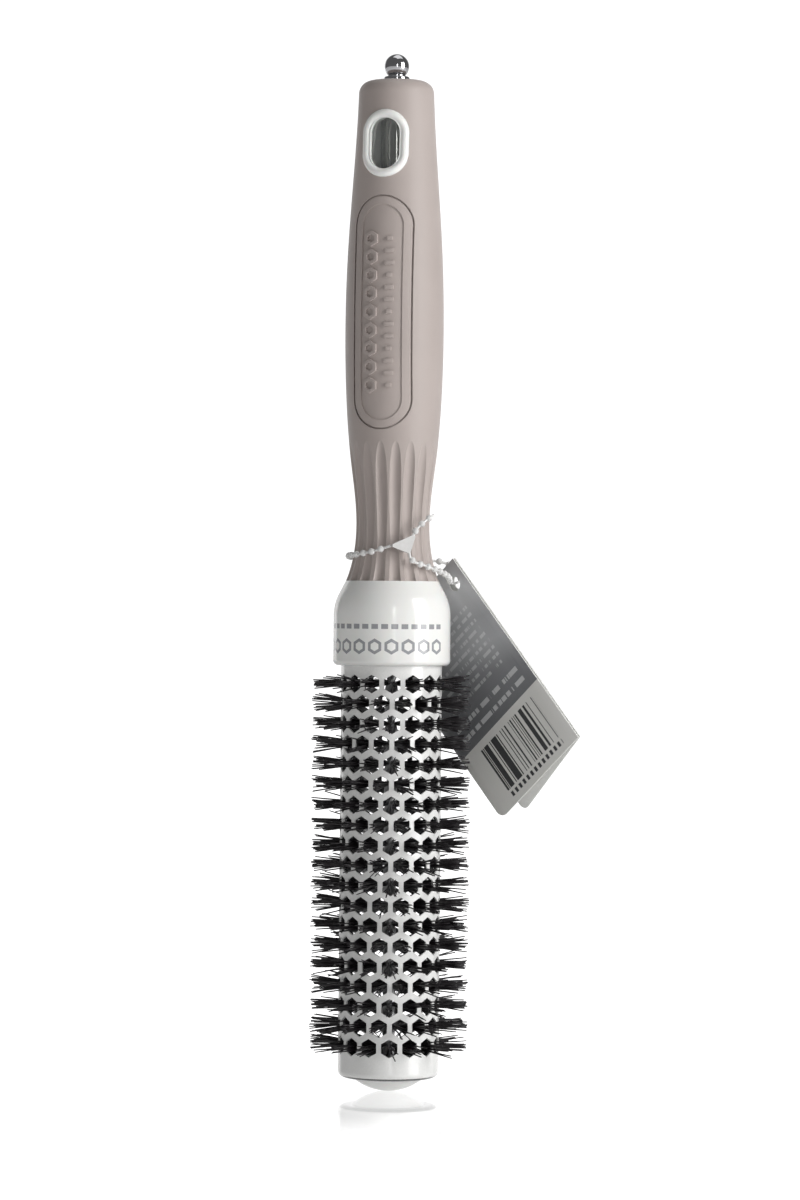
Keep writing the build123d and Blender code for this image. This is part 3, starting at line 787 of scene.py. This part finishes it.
def bendBristle(points, length, wall, spread, clump):  # one bristle's way out through the hole
    side = clump[0] + rng.gauss(0, tuft["loose"]), clump[1] + rng.gauss(0, tuft["loose"])
    limit = max(1, math.hypot(*side))
    drift = rng.gauss(0, tuft["stray"]), rng.gauss(0, tuft["stray"])
    phase = rng.uniform(0, 2 * math.pi)
    share = points[:, 0] / length
    atWall = wall / length
    outside = np.clip((share - atWall) / (1 - atWall), 0, 1)
    within = np.clip(share / atWall, 0, 1)
    bundle = tuft["rootBundle"] + (tuft["wallBundle"] - tuft["rootBundle"]) * within
    bundle = bundle * (1 + (spread - 1) * outside)
    wave = np.sin(share * tuft["waves"] + phase) * tuft["crimp"]
    bent = points.copy()
    bent[:, 0] *= 1 - abs(rng.gauss(0, tuft["short"])) / length
    bent[:, 1] += side[0] / limit * bundle + drift[0] * outside + wave
    bent[:, 2] += side[1] / limit * bundle + drift[1] * outside + wave * math.cos(phase)
    return bent


bristleLength = tuft["tip"] - tuft["root"]
wallDistance = barrelRadius - tuft["root"]
rod = makeBristle(bristleLength)
rodPoints = np.array([v.co for v in rod.data.vertices])
rodFaces = [tuple(face.vertices) for face in rod.data.polygons]
bpy.data.objects.remove(rod)
tufts = []
for variant in range(tuft["variants"]):
    spread = rng.uniform(*tuft["spread"])
    reach = tuft["clumpReach"]
    clumps = [(rng.uniform(-reach, reach), rng.uniform(-reach, reach)) for i in range(tuft["clumps"])]
    tufts.append([
        bendBristle(rodPoints, bristleLength, wallDistance, spread, clumps[i % tuft["clumps"]])
        for i in range(tuft["bristles"])])


def makeTuftRow(row, height):
    points, faces = [], []
    for hole in range(tuft["perRow"]):
        step = 360 / tuft["perRow"]
        angle = math.radians(tuft["firstHole"] + step * (hole + 0.5 * (row % 2)) - 90)
        cosine, sine = math.cos(angle), math.sin(angle)
        flipY, flipZ = rng.choice((-1, 1)), rng.choice((-1, 1))
        left = rng.randrange(tuft["bristles"] + tuft["missing"])  # now and then a bristle is missing
        for index, strand in enumerate(rng.choice(tufts)):
            if index == left:
                continue
            start = len(points)
            x, y, z = strand[:, 0] + tuft["root"], strand[:, 1] * flipY, strand[:, 2] * flipZ
            points.extend(np.stack([x * cosine - y * sine, x * sine + y * cosine, z + height], 1).tolist())
            for face in rodFaces:
                corners = [start + i for i in face]
                faces.append(corners[::-1] if flipY * flipZ < 0 else corners)
    mesh = bpy.data.meshes.new(f"tuftRow{row + 1:02d}")
    mesh.from_pydata(points, [], faces)
    mesh.polygons.foreach_set("use_smooth", [True] * len(mesh.polygons))
    mesh.update()
    tuftRow = bpy.data.objects.new(f"tuftRow{row + 1:02d}", mesh)
    scene.collection.objects.link(tuftRow)
    return tuftRow


for row, name in enumerate(sorted(name for name in nodes if name.startswith("bristle_row"))):
    low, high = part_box(name)
    tuftRow = makeTuftRow(row, (low.z + high.z) / 2)
    setMaterial(tuftRow, nylon)
    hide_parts(name)
    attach(tuftRow, "brush")
print("tufts ready")


# Rim of the window bezel: a rounded ring laid over the frame's flat one
bezelLow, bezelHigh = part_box("window_bezel")
rim = {
    "width": bezelHigh.x - bezelLow.x,
    "length": bezelHigh.z - bezelLow.z,
    "band": 2.0 * mm,
    "section": 1.1 * mm,  # radius of the rounded section
    "sink": 0.55 * mm,    # how far its middle lies under the frame's face
    "around": 72,
    "across": 16,
}


def frontOf(name, x, z):  # how far forward a frame piece is at this place
    cast = nodes[name].ray_cast(Vector((x, -30 * mm, z)), Vector((0, 1, 0)))
    return cast[1].y if cast[0] else -10 * mm


deselectAll()
middleRadius = (rim["width"] - rim["band"]) / 2
bpy.ops.mesh.primitive_torus_add(
    major_radius=middleRadius, minor_radius=rim["section"],
    major_segments=rim["around"], minor_segments=rim["across"], rotation=(math.pi / 2, 0, 0))
bezelRim = bpy.context.object
bezelRim.name = "bezelRim"
settle(bezelRim)
rimHeight = (bezelLow.z + bezelHigh.z) / 2
for v in bezelRim.data.vertices:
    outward = Vector((v.co.x, 0, v.co.z)).normalized() * middleRadius
    stretch = math.copysign((rim["length"] - rim["width"]) / 2, v.co.z)
    face = frontOf("window_bezel", outward.x, rimHeight + outward.z + stretch)
    v.co = (v.co.x, face + rim["sink"] + v.co.y, rimHeight + v.co.z + stretch)
faceOutwards(bezelRim)
bpy.ops.object.shade_smooth()
setMaterial(bezelRim, bezelAbs)
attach(bezelRim, "brush")
print("bezel rim ready")


# Raised marks in the grip's panel: a column of hexagon rings and one of short bars
marks = {
    "height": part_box("grip")[1].z - 57.9 * mm,  # middle of the panel
    "rings": 9,
    "ringPitch": 4.5 * mm,
    "ringSize": 2.0 * mm,
    "line": 0.85 * mm,
    "ringColumn": -2.7 * mm,
    "bars": 13,
    "barPitch": 3.0 * mm,
    "barSize": (2.3 * mm, 1.0 * mm),
    "shortBar": 0.6,      # every third bar is this share as long
    "barColumn": 2.0 * mm,
    "rise": 0.6 * mm,
    "sink": 0.1 * mm,
    "edge": 0.08 * mm,
    "crease": 35,
}


def raiseMark(mark, x, z):  # lay a flat outline on the grip and give it its height
    makeActive(mark)
    bpy.ops.object.mode_set(mode="EDIT")
    bpy.ops.mesh.select_all(action="SELECT")
    bpy.ops.mesh.subdivide(number_cuts=2)
    bpy.ops.object.mode_set(mode="OBJECT")
    for v in mark.data.vertices:
        placeX, placeZ = x + v.co.x, z + v.co.y
        v.co = (placeX, frontOf("grip", placeX, placeZ) + marks["sink"], placeZ)
    thick = mark.modifiers.new("thick", "SOLIDIFY")
    thick.thickness = marks["rise"] + marks["sink"]
    thick.offset = 1
    applyModifiers(mark)
    faceOutwards(mark)
    soft = mark.modifiers.new("soft", "BEVEL")
    soft.width = marks["edge"]
    soft.segments = 2
    soft.limit_method = "ANGLE"
    applyModifiers(mark)
    return mark


def ringMark(x, z):
    deselectAll()
    bpy.ops.mesh.primitive_circle_add(
        vertices=6, radius=marks["ringSize"], fill_type="NGON", location=(0, 0, 0))
    mark = bpy.context.object
    bpy.ops.object.mode_set(mode="EDIT")
    bpy.ops.mesh.select_all(action="SELECT")
    bpy.ops.mesh.inset(thickness=marks["line"])
    bpy.ops.mesh.delete(type="FACE")
    bpy.ops.object.mode_set(mode="OBJECT")
    return raiseMark(mark, x, z)


def barMark(x, z, length):
    deselectAll()
    bpy.ops.mesh.primitive_plane_add(size=1, location=(0, 0, 0))
    mark = bpy.context.object
    mark.scale = (length, marks["barSize"][1], 1)
    settle(mark)
    return raiseMark(mark, x, z)


pieces = []
for i in range(marks["rings"]):
    offset = (i - (marks["rings"] - 1) / 2) * marks["ringPitch"]
    pieces.append(ringMark(marks["ringColumn"], marks["height"] + offset))
for i in range(marks["bars"]):
    offset = (i - (marks["bars"] - 1) / 2) * marks["barPitch"]
    length = marks["barSize"][0] * (1.0 if i % 3 else marks["shortBar"])
    pieces.append(barMark(marks["barColumn"], marks["height"] + offset, length))
panelMarks = joinPieces(pieces, "panelMarks")
bpy.ops.object.shade_smooth_by_angle(angle=math.radians(marks["crease"]))
setMaterial(panelMarks, rubber)
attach(panelMarks, "brush")
print("panel marks ready")


# Studio: pale board, white backdrop, a large lamp to the right and weaker ones round the brush
studio = {
    "board": "#B4B4B4",
    "boardGlow": 0.48,
    "seenGlow": (0.18, 0.8),     # added where the camera sees it, at the brush and far away
    "varnish": (35 * mm, 135 * mm),  # the mirror fades out between these distances
    "mirror": 0.5,
    "coat": 0.65,
    "seenWhite": 1.12,
    "backdrop": 1.0,
    "room": 0.13,
    "backdropEdge": (0.7, 0.9),  # cosine of the angle from straight behind
    "aim": (0, 0, 0.13),
}
lamps = {  # place to the right, up and towards the camera, then width, height and power
    "keyRight": (0.78, 0.3, 0.45, 0.45, 0.9, 8.5),
    "rimLeft": (-0.55, 0.2, -0.8, 0.25, 0.8, 0.4),
    "frontFill": (0.1, 0.35, 1.2, 0.12, 0.5, 1.3),
    "topFill": (0.1, 1.0, -0.1, 0.6, 0.6, 1.2),
}


# Lacquered board: pale and evenly bright, varnished to a mirror only round the brush
def lacqueredBoard():
    material, tree, shader = newMaterial("lacqueredBoard")
    place = addNode(tree, "TexCoord", {}, "Object")
    cloud = addNode(tree, "TexNoise", {"Vector": place, "Scale": perMm(180), "Detail": 2.0}, "Fac")
    rough = addNode(tree, "MapRange", {"Value": cloud, "To Min": 0.06, "To Max": 0.1}, "Result")
    away = addNode(tree, "VectorMath", {0: place}, "Value", operation="LENGTH")
    faded = addNode(tree, "MapRange", {
        "Value": away, "From Min": studio["varnish"][0], "From Max": studio["varnish"][1]},
        "Result", interpolation_type="SMOOTHSTEP")
    mirror = addNode(
        tree, "MapRange", {"Value": faded, "To Min": studio["mirror"], "To Max": 0.0}, "Result")
    coat = addNode(tree, "MapRange", {"Value": faded, "To Min": studio["coat"], "To Max": 0.0}, "Result")
    looked = addNode(tree, "LightPath", {}, "Is Camera Ray")
    extra = addNode(tree, "MapRange", {
        "Value": faded, "To Min": studio["seenGlow"][0], "To Max": studio["seenGlow"][1]}, "Result")
    glow = addNode(tree, "Math", {0: extra, 1: looked, 2: studio["boardGlow"]}, operation="MULTIPLY_ADD")
    tree.links.new(rough, shader.inputs["Roughness"])
    tree.links.new(mirror, shader.inputs["Specular IOR Level"])
    tree.links.new(coat, shader.inputs["Coat Weight"])
    tree.links.new(glow, shader.inputs["Emission Strength"])
    shader.inputs["Base Color"].default_value = hexColor(studio["board"])
    shader.inputs["Emission Color"].default_value = (1, 1, 1, 1)
    return material


deselectAll()
bpy.ops.mesh.primitive_plane_add(size=8, location=(0, 0, 0))
floor = bpy.context.object
floor.name = "floor"
setMaterial(floor, lacqueredBoard())

world = bpy.data.worlds.new("studio")
scene.world = world
world.use_nodes = True
tree = world.node_tree
direction = addNode(tree, "TexCoord", {}, "Generated")
behind = addNode(tree, "VectorMath", {0: direction, 1: -towardCamera}, "Value", operation="DOT_PRODUCT")
sweep = addNode(tree, "MapRange", {
    "Value": behind, "From Min": studio["backdropEdge"][0], "From Max": studio["backdropEdge"][1],
    "To Min": studio["room"], "To Max": studio["backdrop"]}, "Result", interpolation_type="SMOOTHSTEP")
looked = addNode(tree, "LightPath", {}, "Is Camera Ray")
white = addNode(tree, "Math", {0: looked, 1: studio["seenWhite"]}, operation="MULTIPLY")
strength = addNode(tree, "Math", {0: white, 1: sweep}, operation="MAXIMUM")
tree.links.new(strength, tree.nodes["Background"].inputs["Strength"])
tree.nodes["Background"].inputs["Color"].default_value = (1, 1, 1, 1)


def softbox(name, place, width, height, power):
    deselectAll()
    bpy.ops.object.light_add(type="AREA", location=place)
    lamp = bpy.context.object
    lamp.name = name
    lamp.data.shape = "RECTANGLE"
    lamp.data.size = width
    lamp.data.size_y = height
    lamp.data.energy = power
    lamp.rotation_euler = (Vector(studio["aim"]) - place).to_track_quat("-Z", "Y").to_euler()


for name, (right, height, near, width, tall, power) in lamps.items():
    softbox(name, seen(right, height, near), width, tall, power)
scene.view_settings.view_transform = "Standard"
print("studio ready")
